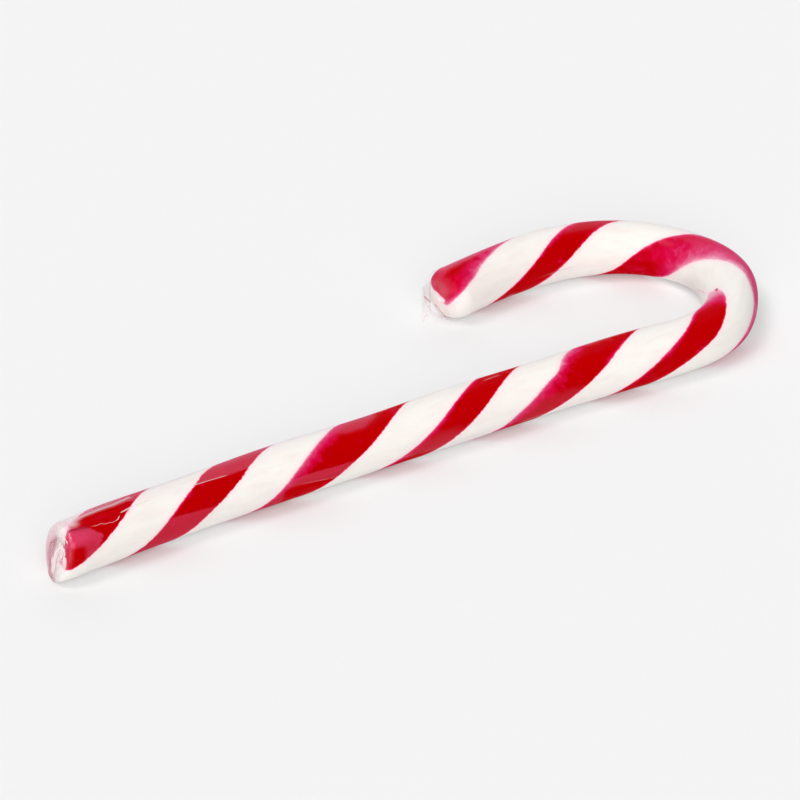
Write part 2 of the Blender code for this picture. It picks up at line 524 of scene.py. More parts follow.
        # the gathered ends are crumpled along the rod
        section = add_node(tree, "ShaderNodeCombineXYZ", {
            0: of_guide["travel"], 1: across, 2: height})
        spread = add_node(tree, "ShaderNodeVectorMath", {
            0: section.outputs[0], 1: given["Crumple scale"]}, operation="MULTIPLY")
        noise = add_node(tree, "ShaderNodeTexNoise", {
            "Vector": spread.outputs[0], "W": given["Seed"], "Scale": 1.0,
            "Detail": self.crumple_detail, "Roughness": self.crumple_roughness},
            noise_dimensions="4D", normalize=False)
        size = add_node(tree, "ShaderNodeMath", {0: of_guide["gather"], 1: given["Crumple"]},
                        operation="MULTIPLY")
        crumple = add_node(tree, "ShaderNodeMath", {0: noise.outputs[0], 1: size.outputs[0]},
                           operation="MULTIPLY")
        lead = add_node(tree, "ShaderNodeMath", {
            0: of_guide["skew_left"], 1: across, 2: crumple.outputs[0]},
            operation="MULTIPLY_ADD")
        lead = add_node(tree, "ShaderNodeMath", {
            0: of_guide["skew_up"], 1: height, 2: lead.outputs[0]}, operation="MULTIPLY_ADD")

        # rolled round the centreline, and never under the floor
        place = of_guide["spot"]
        for way, size in ((of_guide["forward"], lead.outputs[0]), (of_guide["leftward"], across),
                          ((0.0, 0.0, 1.0), height)):
            place = add_node(tree, "ShaderNodeVectorMath", {0: way, 1: size, 2: place},
                             operation="MULTIPLY_ADD").outputs[0]
        place = add_node(tree, "ShaderNodeVectorMath", {0: place, 1: given["Lowest"]},
                         operation="MAXIMUM")
        shape = grid.outputs["Mesh"]
        for label, value, kind in (
                ("travel", of_guide["travel"], "FLOAT"), ("turn", angle, "FLOAT"),
                ("tent", reach, "FLOAT"), ("gather", of_guide["gather"], "FLOAT"),
                ("straight", straight.outputs[0], "FLOAT_VECTOR"),
                ("section", section.outputs[0], "FLOAT_VECTOR")):
            shape = add_node(tree, "GeometryNodeStoreNamedAttribute", {
                "Geometry": shape, "Name": label, "Value": value},
                data_type=kind, domain="POINT").outputs[0]
        moved = add_node(tree, "GeometryNodeSetPosition", {
            "Geometry": shape, "Position": place.outputs[0]})
        closed = add_node(tree, "GeometryNodeMergeByDistance", {
            "Geometry": moved.outputs[0], "Distance": self.merge})
        real = add_node(tree, "GeometryNodeRealizeInstances", {0: closed.outputs[0]})
        outward = add_node(tree, "GeometryNodeFlipFaces", {"Mesh": real.outputs[0]})
        dressed = add_node(tree, "GeometryNodeSetMaterial", {
            "Geometry": outward.outputs[0], "Material": given["Material"]})
        add_node(tree, "NodeGroupOutput", {0: dressed.outputs[0]})
        return tree


@dataclass
class Sweeper:
    """Runs the sweep rule on one set of sections and gives back a plain mesh."""

    line: RodLine
    foot_x: float
    foot_y: float
    tree: bpy.types.NodeTree

    def guide(self, name: str, rings: Rings) -> bpy.types.Object:
        """A row of points that carries the sections' sizes."""
        travel = np.array(rings.travel)
        x, y, way = self.line.trace(travel)
        mesh = bpy.data.meshes.new(name)
        mesh.from_pydata([(0.0, 0.0, 0.0)] * len(travel), [], [])
        spots = np.stack([x + self.foot_x, y + self.foot_y, np.array(rings.middle)], 1)
        level = np.zeros(len(way))
        for label, kind in GUIDE_SIZES:
            store = mesh.attributes.new(label, kind, "POINT")
            store.data.foreach_set("value", np.array(getattr(rings, label), np.float32))
        for (label, kind), rows in zip(GUIDE_WAYS, (
                spots, np.stack([np.cos(way), np.sin(way), level], 1),
                np.stack([-np.sin(way), np.cos(way), level], 1))):
            store = mesh.attributes.new(label, kind, "POINT")
            store.data.foreach_set("vector", rows.astype(np.float32).ravel())
        made = bpy.data.objects.new(name, mesh)
        bpy.context.scene.collection.objects.link(made)
        return made

    def sweep(self, name: str, rings: Rings, creases: bpy.types.Object | None,
              material: bpy.types.Material, sizes: dict[str, float]) -> bpy.types.Object:
        """Sweep the sections into one closed piece.

        Args:
            name: the piece's name.
            rings: its sections.
            creases: crease lines on the unrolled film, or None.
            material: its finish.
            sizes: the rule's other inputs, by name.

        Returns:
            The piece, a plain mesh at the origin.
        """
        guide = self.guide(name + "_guide", rings)
        modifier = guide.modifiers.new("sweep", "NODES")
        modifier.node_group = self.tree
        values = {"Creases": creases, "Material": material, "Stations": len(rings.travel), **sizes}
        for item in self.tree.interface.items_tree:
            if item.in_out == "INPUT" and item.name in values and values[item.name] is not None:
                modifier[item.identifier] = values[item.name]
        graph = bpy.context.evaluated_depsgraph_get()
        mesh = bpy.data.meshes.new_from_object(guide.evaluated_get(graph), depsgraph=graph)
        mesh.name = name
        bpy.data.objects.remove(guide)
        piece = bpy.data.objects.new(name, mesh)
        bpy.context.scene.collection.objects.link(piece)
        mesh.shade_smooth()
        return piece


# ---------------------------------------------------------------------------
# finishes
# ---------------------------------------------------------------------------


@dataclass(frozen=True)
class BoiledSugar:
    """Pulled and twisted boiled sugar, rolled by hand: warm white with red strands.

    It gives the eye a deep wet red that thins out through magenta and pink into a milky,
    slightly see-through white.  Where the film stands off it, the red is painted paler as a
    painted reflection of the loose film's haze.
    """

    white: str = "EAE6E1"
    streak: str = "E6DEDA"
    # painted light: the pink of red light scattered through the sugar into the white
    painted_scatter_pink: str = "EFDBDD"
    # painted reflection: the pale hazy red where the film stands off the sugar
    painted_haze_red: str = "CE3C60"
    reds: tuple[tuple[float, str], ...] = (
        (0.0, "E9B8C6"),
        (0.06, "DA7496"),
        (0.15, "D0386A"),
        (0.34, "CA0C48"),
        (0.56, "C4042C"),
        (0.74, "B30002"),
    )
    new_stop: float = 0.5           # where a stop is made, before it gets its place
    cloud_size: float = 1.8 * MM    # patches of thicker and thinner red
    cloud_share: float = 0.42
    cloud_detail: float = 5.0
    cloud_roughness: float = 0.8
    streak_scale: tuple[float, float, float] = (
        1.0 / (5.0 * MM), 1.0 / (1.4 * MM), 1.0 / (1.4 * MM))
    streak_detail: float = 3.0
    streak_roughness: float = 0.55
    streak_from: float = 0.45       # the noise's values between which a streak comes up
    streak_to: float = 0.75
    painted_scatter_reach: float = 0.9 * MM   # how far the painted pink of red light scattered in the sugar reaches into the white
    edge_size: float = 0.5 * MM     # how finely and how far a stripe's edge wanders
    edge_wander: float = 0.17 * MM
    edge_detail: float = 2.0
    edge_roughness: float = 0.6
    edge_from: float = -0.04 * MM   # the edge goes from no red to full over this
    edge_to: float = 0.20 * MM
    roughness: float = 0.25
    ior: float = 1.49              # boiled sugar
    gloss: float = 0.0             # the film lies wet on it, so it has no shine of its own
    scatter_depth: float = 4.5 * MM
    scatter_share: float = 0.8
    scatter_reach: tuple[float, float, float] = (1.0, 0.85, 0.8)   # red light goes furthest

    def material(self) -> bpy.types.Material:
        """Make the finish."""
        made = bpy.data.materials.new("striped_boiled_sugar")
        made.use_nodes = True
        tree = made.node_tree
        tree.nodes.clear()
        dye, inside, painted_haze = (
            add_node(tree, "ShaderNodeAttribute", attribute_name=label).outputs["Fac"]
            for label in ("dye", "inside", "painted_haze"))
        straight = add_node(tree, "ShaderNodeAttribute", attribute_name="straight").outputs["Vector"]
        clouds = add_node(tree, "ShaderNodeTexNoise", {
            "Vector": straight, "Scale": 1.0 / self.cloud_size,
            "Detail": self.cloud_detail, "Roughness": self.cloud_roughness}, normalize=False)
        gain = add_node(tree, "ShaderNodeMath", {0: clouds.outputs[0], 1: self.cloud_share,
                                                 2: 1.0}, operation="MULTIPLY_ADD")
        moved = add_node(tree, "ShaderNodeMath", {0: gain.outputs[0], 1: dye},
                         operation="MULTIPLY")
        ramp = add_node(tree, "ShaderNodeValToRGB", {0: moved.outputs[0]})
        stops = ramp.color_ramp.elements
        while len(stops) < len(self.reds):
            stops.new(self.new_stop)
        for stop, (place, colour) in zip(stops, self.reds):
            stop.position, stop.color = place, linear(colour)
        # painted reflection: where the film stands off, the red is painted paler as its haze
        reds = add_node(tree, "ShaderNodeMix", {
            0: painted_haze, 6: ramp.outputs[0], 7: linear(self.painted_haze_red)}, data_type="RGBA")
        frays = add_node(tree, "ShaderNodeTexNoise", {
            "Vector": straight, "Scale": 1.0 / self.edge_size,
            "Detail": self.edge_detail, "Roughness": self.edge_roughness}, normalize=False)
        frayed = add_node(tree, "ShaderNodeMath", {0: frays.outputs[0], 1: self.edge_wander,
                                                   2: inside}, operation="MULTIPLY_ADD")
        red = add_node(tree, "ShaderNodeMapRange", {
            0: frayed.outputs[0], 1: self.edge_from, 2: self.edge_to, 3: 0.0, 4: 1.0},
            interpolation_type="SMOOTHSTEP")
        # painted scattered light: the white beside a red band is tinted pink
        painted_scatter_share = add_node(tree, "ShaderNodeMapRange", {
            0: inside, 1: -self.painted_scatter_reach, 2: 0.0, 3: 0.0, 4: 1.0},
            interpolation_type="SMOOTHSTEP")
        spread = add_node(tree, "ShaderNodeVectorMath", {0: straight, 1: self.streak_scale},
                          operation="MULTIPLY")
        streaks = add_node(tree, "ShaderNodeTexNoise", {
            "Vector": spread.outputs[0], "Scale": 1.0,
            "Detail": self.streak_detail, "Roughness": self.streak_roughness})
        streaks = add_node(tree, "ShaderNodeMapRange", {
            0: streaks.outputs[0], 1: self.streak_from, 2: self.streak_to, 3: 0.0, 4: 1.0})
        milky = add_node(tree, "ShaderNodeMix", {
            0: streaks.outputs[0], 6: linear(self.white), 7: linear(self.streak)},
            data_type="RGBA")
        whites = add_node(tree, "ShaderNodeMix", {
            0: painted_scatter_share.outputs[0], 6: milky.outputs[2], 7: linear(self.painted_scatter_pink)}, data_type="RGBA")
        colour = add_node(tree, "ShaderNodeMix", {
            0: red.outputs[0], 6: whites.outputs[2], 7: reds.outputs[2]}, data_type="RGBA")
        shader = add_node(tree, "ShaderNodeBsdfPrincipled", {
            "Base Color": colour.outputs[2], "Roughness": self.roughness, "IOR": self.ior,
            "Specular IOR Level": self.gloss, "Subsurface Weight": self.scatter_share,
            "Subsurface Radius": self.scatter_reach, "Subsurface Scale": self.scatter_depth})
        add_node(tree, "ShaderNodeOutputMaterial", {0: shader.outputs[0]})
        return made


@dataclass(frozen=True)
class ClearFilm:
    """Biaxially drawn polypropylene wrapper, 30 micron, clear and very smooth.

    Where it clings to the sugar it almost vanishes.  Where it stands off it gives the eye
    long flat reflections with sharp edges.  Along its hard folds and glints highlights are
    painted on it as white lines, with painted shade in the folds' crevices and soft painted
    sheens as veils.
    """

    clinging: float = 0.003        # share reflected face on where the film clings
    standing: float = 0.027        # and where it stands off, with air behind it
    clinging_edge: float = 0.12    # share reflected edge on
    standing_edge: float = 0.5
    grazing_power: float = 5.0     # how quickly it grows towards the edge
    facing_blend: float = 0.5
    roughness: float = 0.06
    tint: str = "F2DCF8"
    # painted highlight colour of the film's fold lines and glints
    white: str = "F5E2E6"
    # painted sheen: a soft pinkish-white reflection laid on the film as a veil
    painted_sheen: str = "F3D6DE"
    painted_crevice_shade: str = "A8183A"        # painted shade: deep in a fold the red of the sugar shows darkened
    gather_scale: tuple[float, float, float] = (
        1.0 / (2.5 * MM), 1.0 / (1.9 * MM), 1.0 / (6.0 * MM))
    gather_detail: float = 2.0
    gather_roughness: float = 0.5
    gather_twist: float = 0.2
    gather_from: float = 0.36      # the noise's values between which a streak comes up
    gather_to: float = 0.56
    # strongest painted highlight in the gathered ends' streaks
    gather_highlight: float = 0.7

    def material(self) -> bpy.types.Material:
        """Make the finish."""
        made = bpy.data.materials.new("clear_polypropylene_film")
        made.use_nodes = True
        tree = made.node_tree
        tree.nodes.clear()
        loose, aside, white, tone, painted_gather_light, painted_sheen = (
            add_node(tree, "ShaderNodeAttribute", attribute_name=label).outputs["Fac"]
            for label in ("loose", "aside", "white", "tone", "painted_gather_light", "painted_sheen"))
        facing = add_node(tree, "ShaderNodeLayerWeight", {
            "Blend": self.facing_blend}).outputs["Facing"]
        grazing = add_node(tree, "ShaderNodeMath", {0: facing, 1: self.grazing_power},
                           operation="POWER")
        face_on = add_node(tree, "ShaderNodeMix", {0: loose, 2: self.clinging, 3: self.standing},
                           data_type="FLOAT")
        edge_on = add_node(tree, "ShaderNodeMix", {
            0: loose, 2: self.clinging_edge, 3: self.standing_edge}, data_type="FLOAT")
        reflected = add_node(tree, "ShaderNodeMath", {
            0: grazing.outputs[0], 1: edge_on.outputs[0], 2: face_on.outputs[0]},
            operation="MULTIPLY_ADD")
        clear = add_node(tree, "ShaderNodeBsdfTransparent", {"Color": (1.0, 1.0, 1.0, 1.0)})
        gloss = add_node(tree, "ShaderNodeBsdfGlossy", {
            "Color": linear(self.tint), "Roughness": self.roughness})
        mixed = add_node(tree, "ShaderNodeMixShader", {
            0: reflected.outputs[0], 1: clear.outputs[0], 2: gloss.outputs[0]})
        # painted highlights and painted crevice shade as hair lines on hard folds, and painted
        # highlights in streaks on the gathered ends
        off = add_node(tree, "ShaderNodeMath", {0: aside}, operation="ABSOLUTE")
        line = add_node(tree, "ShaderNodeMapRange", {
            0: off.outputs[0], 1: 1.0, 2: 0.0, 3: 0.0, 4: 1.0},
            interpolation_type="SMOOTHSTEP")
        painted_fold_line = add_node(tree, "ShaderNodeMath", {0: line.outputs[0], 1: white},
                        operation="MULTIPLY")
        section = add_node(tree, "ShaderNodeAttribute", attribute_name="section").outputs["Vector"]
        spread = add_node(tree, "ShaderNodeVectorMath", {0: section, 1: self.gather_scale},
                          operation="MULTIPLY")
        streaks = add_node(tree, "ShaderNodeTexNoise", {
            "Vector": spread.outputs[0], "Scale": 1.0, "Detail": self.gather_detail,
            "Roughness": self.gather_roughness, "Distortion": self.gather_twist})
        streaks = add_node(tree, "ShaderNodeMapRange", {
            0: streaks.outputs[0], 1: self.gather_from, 2: self.gather_to,
            3: 0.0, 4: self.gather_highlight})
        # painted highlights: streaks on the gathered ends
        streaks = add_node(tree, "ShaderNodeMath", {0: streaks.outputs[0], 1: painted_gather_light},
                           operation="MULTIPLY")
        painted_fold_lines = add_node(tree, "ShaderNodeMath", {0: painted_fold_line.outputs[0], 1: streaks.outputs[0]},
                          operation="MAXIMUM")
        # painted crevice shade turns the painted fold line to a shadowed red
        painted_fold_hue = add_node(tree, "ShaderNodeMix", {
            0: tone, 6: linear(self.white), 7: linear(self.painted_crevice_shade)}, data_type="RGBA")
        painted_fold_diffuse = add_node(tree, "ShaderNodeBsdfDiffuse", {"Color": painted_fold_hue.outputs[2]})
        # painted sheen: a pale diffuse veil standing in for the film's soft reflections
        painted_sheen_diffuse = add_node(tree, "ShaderNodeBsdfDiffuse", {"Color": linear(self.painted_sheen)})
        with_painted_sheen = add_node(tree, "ShaderNodeMixShader", {
            0: painted_sheen, 1: mixed.outputs[0], 2: painted_sheen_diffuse.outputs[0]})
        shown = add_node(tree, "ShaderNodeMixShader", {
            0: painted_fold_lines.outputs[0], 1: with_painted_sheen.outputs[0], 2: painted_fold_diffuse.outputs[0]})
        add_node(tree, "ShaderNodeOutputMaterial", {0: shown.outputs[0]})
        return made


@dataclass(frozen=True)
class OpalTable:
    """Matt opal acrylic sheet, lit softly from below.

    It gives the eye an even pale ground with thin grey shadows, and its glow lifts the
    underside of what lies on it.
    """

    colour: str = "CFCFCF"
    glow: float = 0.24
    roughness: float = 0.9
    gloss: float = 0.1

    def material(self) -> bpy.types.Material:
        """Make the finish."""
        made = bpy.data.materials.new("opal_acrylic")
        made.use_nodes = True
        tree = made.node_tree
        tree.nodes.clear()
        shader = add_node(tree, "ShaderNodeBsdfPrincipled", {
            "Base Color": linear(self.colour), "Roughness": self.roughness,
            "Specular IOR Level": self.gloss, "Emission Color": (1.0, 1.0, 1.0, 1.0),
            "Emission Strength": self.glow})
        add_node(tree, "ShaderNodeOutputMaterial", {0: shader.outputs[0]})
        return made


# ---------------------------------------------------------------------------
# the sugar rod
# ---------------------------------------------------------------------------


@dataclass(frozen=True)
class StripeEdge:
    """Where one red band starts and ends along the rod at one turn round it.

    Each side of a band is paler and pinker over its fringe, where the red sugar thins out.
    """

    turn: float                 # degrees, 0 on the left of travel and 90 on top
    starts: float               # millimetres from the foot
    ends: float
    start_fringe: float = 0.3   # millimetres, square to the edge
    end_fringe: float = 0.3
    depth: float = 1.0          # 1 for the full red, less where the red sugar is thin


@dataclass(frozen=True)
class Band:
    """One visible pass of a red strand over the rod."""

    number: int
    edges: tuple[StripeEdge, ...]

    @property
    def strand(self) -> Strand:
        """Odd passes are the first strand, even ones the second."""
        return Strand.FIRST if self.number % 2 else Strand.SECOND

    @property
    def unwound(self) -> float:
        """Degrees to take off so that one strand's passes follow each other."""
        return FULL_TURN * ((self.number - 1) // 2)


BANDS = (
    Band(0, (StripeEdge(-60.0, 2.6, 13.7, 0.6, 0.6, 0.8),
             StripeEdge(-20.0, -2.8, 8.0, 1.5, 1.5, 0.3),
             StripeEdge(0.0, -5.4, 4.5, 1.5, 2.0, 0.1), StripeEdge(20.0, -8.0, 2.0, 2.0, 2.0, 0.07),
             StripeEdge(45.0, -12.0, -1.5, 1.0, 1.0, 0.05))),
    Band(1, (StripeEdge(210.0, 3.0, -4.0), StripeEdge(196.0, 2.4, -1.0, 0.8, 0.8, 0.5),
             StripeEdge(187.0, 0.7, 1.5, 0.5, 0.5, 0.6), StripeEdge(180.0, -0.6, 2.6, 0.7, 0.5),
             StripeEdge(172.0, -2.6, 4.0, 0.9, 0.5), StripeEdge(164.0, -4.5, 6.0, 1.0),
             StripeEdge(150.0, -5.0, 8.5, 1.4),
             StripeEdge(128.0, -1.5, 12.2, 2.0), StripeEdge(96.0, 2.0, 16.5, 2.4),
             StripeEdge(80.0, 5.0, 18.6, 2.0))),
    Band(2, (StripeEdge(210.0, 14.0, 24.8), StripeEdge(180.0, 17.8, 28.4, 0.5),
             StripeEdge(150.0, 21.6, 33.4, 0.8), StripeEdge(130.0, 24.5, 36.6, 0.8),
             StripeEdge(108.0, 27.8, 39.4, 0.7), StripeEdge(90.0, 29.9, 42.1, 0.5),
             StripeEdge(70.0, 32.6, 45.0))),
    Band(3, (StripeEdge(210.0, 39.7, 52.6, 1.2), StripeEdge(178.0, 43.4, 57.2, 2.0),
             StripeEdge(150.0, 46.8, 62.2, 3.2), StripeEdge(120.0, 51.0, 66.6, 3.6),
             StripeEdge(90.0, 55.5, 70.6, 3.0), StripeEdge(70.0, 58.0, 73.0, 2.2))),
    Band(4, (StripeEdge(210.0, 66.4, 76.6, 1.8, 0.6), StripeEdge(150.0, 75.8, 85.6, 1.4),
             StripeEdge(90.0, 84.6, 93.8, 1.0))),
    Band(5, (StripeEdge(214.0, 89.0, 99.0, 2.4, 0.5), StripeEdge(186.0, 91.8, 104.0, 3.4, 0.5),
             StripeEdge(160.0, 95.8, 108.6, 4.0, 0.4), StripeEdge(136.0, 99.2, 112.4, 3.4, 0.6),
             StripeEdge(124.0, 101.9, 114.0, 2.0, 1.4), StripeEdge(106.0, 103.0, 116.6, 3.4, 0.8),
             StripeEdge(76.0, 105.8, 120.4, 4.4, 0.4))),
    Band(6, (StripeEdge(210.0, 114.2, 123.2, 0.8), StripeEdge(178.0, 119.2, 128.5, 1.0),
             StripeEdge(150.0, 123.6, 133.8, 1.4), StripeEdge(124.0, 127.4, 137.0, 1.0),
             StripeEdge(102.0, 130.0, 139.8, 0.9, 0.5), StripeEdge(80.0, 132.2, 143.2, 1.2, 4.0),
             StripeEdge(68.0, 133.6, 144.5, 1.6, 8.0, 0.6), StripeEdge(58.0, 135.0, 145.4, 1.6, 9.0, 0.3),
             StripeEdge(42.0, 138.2, 144.8, 1.6, 6.0, 0.07),
             StripeEdge(22.0, 142.0, 148.0, 1.2, 1.5, -0.3),
             StripeEdge(-60.0, 158.0, 165.0, 1.2, 1.5, -0.3))),
    Band(7, (StripeEdge(220.0, 136.0, 143.6, 0.6, 0.6, 0.3), StripeEdge(196.0, 138.0, 149.0, 0.8, 0.6, 0.16),
             StripeEdge(178.0, 140.2, 151.0, 1.0, 0.6, 0.13),
             StripeEdge(150.0, 145.4, 156.0, 1.4, 1.2, 0.13),
             StripeEdge(130.0, 148.0, 161.0, 2.2, 1.8, 0.20),
             StripeEdge(112.0, 151.0, 165.6, 3.2, 1.8, 0.28),
             StripeEdge(96.0, 152.8, 167.0, 5.5, 1.6, 0.45),
             StripeEdge(80.0, 154.8, 168.4, 7.0, 1.0, 0.55),
             StripeEdge(44.0, 159.6, 173.4, 8.0, 0.8, 0.66),
             StripeEdge(14.0, 163.5, 177.2, 5.0, 0.5, 0.74),
             StripeEdge(-30.0, 168.8, 182.0, 1.4, 0.5, 0.8))),
    Band(8, (StripeEdge(210.0, 168.0, 176.0, 1.0, 1.0, 0.9), StripeEdge(90.0, 182.0, 190.8, 0.8, 1.8, 0.95),
             StripeEdge(30.0, 189.2, 199.0, 0.4, 0.7), StripeEdge(-30.0, 197.5, 208.8, 0.8, 0.8),
             StripeEdge(-80.0, 204.0, 213.0, 0.8, 0.8))),
    Band(9, (StripeEdge(210.0, 186.5, 199.0), StripeEdge(172.0, 192.0, 208.0, 2.0, 1.6, 0.5),
             StripeEdge(158.0, 194.0, 215.0, 3.0, 1.0, 0.4), StripeEdge(146.0, 196.0, 220.2, 4.0, 0.8, 0.5),
             StripeEdge(124.0, 198.6, 221.0, 6.0, 0.8, 0.7), StripeEdge(98.0, 203.5, 221.4, 6.0, 0.6, 1.0),
             StripeEdge(82.0, 206.5, 221.5, 5.5, 0.6, 0.9), StripeEdge(68.0, 209.8, 221.6, 4.5, 0.6, 0.8),
             StripeEdge(54.0, 211.8, 221.5, 4.0, 0.5, 0.7), StripeEdge(44.0, 213.8, 221.4, 3.0, 0.5, 0.7),
             StripeEdge(31.0, 216.9, 221.3, 2.0, 0.5, 0.6), StripeEdge(17.0, 218.8, 221.1, 1.4, 0.6, 0.4),
             StripeEdge(-3.0, 219.6, 221.2, 0.9, 0.8, 0.24), StripeEdge(-24.0, 220.3, 221.4, 1.0, 1.0, 0.11),
             StripeEdge(-44.0, 222.0, 222.6, 1.0, 0.8, -0.3),
             StripeEdge(-60.0, 228.0, 229.0, 1.0, 1.0, -0.3))),
    Band(10, (StripeEdge(250.0, 218.0, 219.0, 0.8, 0.8, 0.5),
              StripeEdge(220.0, 226.0, 227.0, 0.8, 0.8, 0.5))),
)


@dataclass
class SugarRod:
    """The striped rod inside the film."""

    line: RodLine
    film_gap: float = 0.10 * MM
    station_step: float = 0.5 * MM
    sides: int = 128
    round_rings: int = 14
    face_rings: int = 8
    face_bulge: float = 0.3 * MM
    edge_slope: float = 0.53       # distance square to a stripe's edge per length along the rod
    blend_degrees: int = 14        # the strands' edges are smoothed over this
    spare_degrees: int = 720       # and go on at both ends by this
    windings: tuple[int, int] = (-1, 6)
    no_dye: float = -9.0
    far_outside: float = -1.0
    faint: float = 0.1             # depth under which a band peters out
    strand_share: float = 0.12     # share of the cut face that the red rim takes
    ripple: float = 0.05 * MM
    ripple_scale: tuple[float, float, float] = (
        1.0 / (14.0 * MM), 1.0 / (5.0 * MM), 1.0 / (5.0 * MM))
    seed: float = 3.0

    def end_rings(self, end: RodEnd) -> Rings:
        """Sections from the full rod round to the closed end face."""
        rings = Rings()
        radius = float(self.line.radius_at(end.place)) - self.film_gap
        place = end.place - end.outward * self.film_gap
        for index in range(1, self.round_rings + 1):
            share = index / self.round_rings
            angle = 0.5 * math.pi * share
            slump = 1.0 - math.cos(angle)
            size = radius - end.sugar_depth * slump
            rings.add(place - end.outward * end.sugar_length * (1.0 - math.sin(angle)),
                      size, size, size,
                      radius + self.film_gap - self.line.underside_flat - end.slump_down * slump,
                      end.slump_right * slump, (end.skew_left * share, end.skew_up * share), share)
        face = radius - end.sugar_depth
        middle = radius + self.film_gap - self.line.underside_flat - end.slump_down
        for index in range(1, self.face_rings + 1):
            share = index / self.face_rings
            size = face * (1.0 - share)
            rings.add(place + end.outward * self.face_bulge * math.sin(0.5 * math.pi * share),
                      size, size, size, middle, end.slump_right, (end.skew_left, end.skew_up),
                      1.0 + share)
        return rings

    def body_rings(self) -> Rings:
        """Full sections between the rounded ends."""
        rings = Rings()
        first = FOOT.sugar_length + self.film_gap
        last = self.line.length - TIP.sugar_length - self.film_gap
        for travel in np.linspace(first, last, round((last - first) / self.station_step)):
            radius = float(self.line.radius_at(travel))
            rings.add(travel, self.line.left_at(travel) - self.film_gap,
                      self.line.right_at(travel) - self.film_gap, radius - self.film_gap,
                      radius - self.line.underside_flat)
        return rings

    def strand_run(self, strand: Strand) -> tuple[np.ndarray, list[np.ndarray]]:
        """One strand, unwound.

        Args:
            strand: which of the two.

        Returns:
            Turns in degrees, and at each its start, end, two fringes and depth.
        """
        knots = sorted((edge.turn - band.unwound, edge.starts * MM, edge.ends * MM,
                        edge.start_fringe * MM, edge.end_fringe * MM, edge.depth)
                       for band in BANDS if band.strand is strand for edge in band.edges)
        table = np.array(knots)
        turns = table[:, 0]
        pad = self.blend_degrees
        dense = np.arange(math.floor(turns[0]) - self.spare_degrees,
                          math.ceil(turns[-1]) + self.spare_degrees)
        reach = np.hanning(2 * pad + 3)[1:-1]
        reach /= reach.sum()
        found = []
        for column in range(1, table.shape[1]):
            values = table[:, column]
            run = np.interp(dense, turns, values)
            if column in (1, 2):       # the start and the end go on at the same pitch
                low = (values[1] - values[0]) / (turns[1] - turns[0])
                high = (values[-1] - values[-2]) / (turns[-1] - turns[-2])
                run += np.minimum(dense - turns[0], 0.0) * low
                run += np.maximum(dense - turns[-1], 0.0) * high
            padded = np.pad(run, pad, mode="reflect", reflect_type="odd")
            found.append(np.convolve(padded, reach, mode="valid"))
        return dense.astype(float), found

    def dye_field(self, travel: np.ndarray, turn: np.ndarray) -> tuple[np.ndarray, np.ndarray]:
        """How red the sugar is.

        Args:
            travel: lengths along the rod.
            turn: degrees round it.

        Returns:
            Dye, 0 at a band's edge and up to 1 inside; and the distance inside in metres.
        """
        dye = np.full(len(travel), self.no_dye)
        inside = np.full(len(travel), self.far_outside)
        for strand in Strand:
            turns, run = self.strand_run(strand)
            for winding in range(*self.windings):
                unwound = turn - FULL_TURN * winding
                start, end, first, last, depth = (np.interp(unwound, turns, v) for v in run)
                to_start = (travel - start) * self.edge_slope
                to_end = (end - travel) * self.edge_slope
                reached = np.minimum(to_start / first, to_end / last)
                reached = np.where(reached > 0.0, np.minimum(reached, 1.0) * depth, reached)
                dye = np.maximum(dye, reached)
                held = np.minimum(to_start, to_end)
                held = np.where(held > 0.0, held * np.clip(depth / self.faint, -1.0, 1.0), held)
                inside = np.maximum(inside, held)
        return dye, inside

    def build(self, sweeper: Sweeper, material: bpy.types.Material) -> bpy.types.Object:
        """Make the rod and write its stripe pattern on it."""
        rings = self.end_rings(FOOT).backwards().joined(self.body_rings(), self.end_rings(TIP))
        piece = sweeper.sweep("striped_rod", rings, None, material, {
            "Sides": self.sides, "Mean radius": self.line.radius, "Ripple": self.ripple,
            "Ripple scale": self.ripple_scale, "Crumple": 0.0, "Crumple scale": (1.0, 1.0, 1.0),
            "Lowest": (*NO_SIDE_LIMIT, self.film_gap), "Seed": self.seed})
        travel, turn, gather = (read_field(piece, label) for label in ("travel", "turn", "gather"))
        turn = np.degrees(turn)
        # on the rounded ends the strands go on by the length of the arc
        run = travel.copy()
        for end in (FOOT, TIP):
            here = (gather > 0.0) & (np.abs(travel - end.place) < 0.5 * self.line.length)
            first = end.place - end.outward * (self.film_gap + end.sugar_length)
            # a quarter of an ellipse's outline, near enough
            arc = 0.25 * math.pi * (end.sugar_length + end.sugar_depth)
            face = self.line.radius - end.sugar_depth
            run[here] = first + end.outward * (arc * np.minimum(gather[here], 1.0)
                                               + face * np.maximum(gather[here] - 1.0, 0.0))
        dye, inside = self.dye_field(run, turn)
        # the strands lie on the outside only, so the foot's cut face is white in a red rim
        foot_face = (travel < 0.5 * self.line.length) * np.maximum(gather - 1.0, 0.0)
        dye -= foot_face / self.strand_share
        inside -= foot_face * FOOT.sugar_depth
        write_field(piece, "dye", dye)
        write_field(piece, "inside", inside)
        # painted haze on the sugar, a painted reflection of the loose film
        write_field(piece, "painted_haze", standing_off(travel, turn, self.line.radius)[1])
        return piece


# ---------------------------------------------------------------------------
# the wrapper film
# ---------------------------------------------------------------------------


@dataclass(frozen=True)
class LoosePatch:
    """A piece of the film that stands off the sugar, or with a share of 0 one that clings.

    Later patches lie over earlier ones.
    """

    corners: tuple[tuple[float, float], ...]     # travel in millimetres, turn in degrees
    share: float                                 # 1 where the film is quite free of the sugar
    fade: float = 0.25                           # millimetres over which its edge fades
    painted_haze: float = 0.1                             # 1 where the sugar under it gets the full painted haze, a painted reflection of the film


@dataclass(frozen=True)
class Crease:
    """A line where the film stands off the sugar; its points are (travel mm, turn degrees)."""

    points: tuple[tuple[float, float], ...]
    width: float          # how far to each side the film is lifted, in millimetres


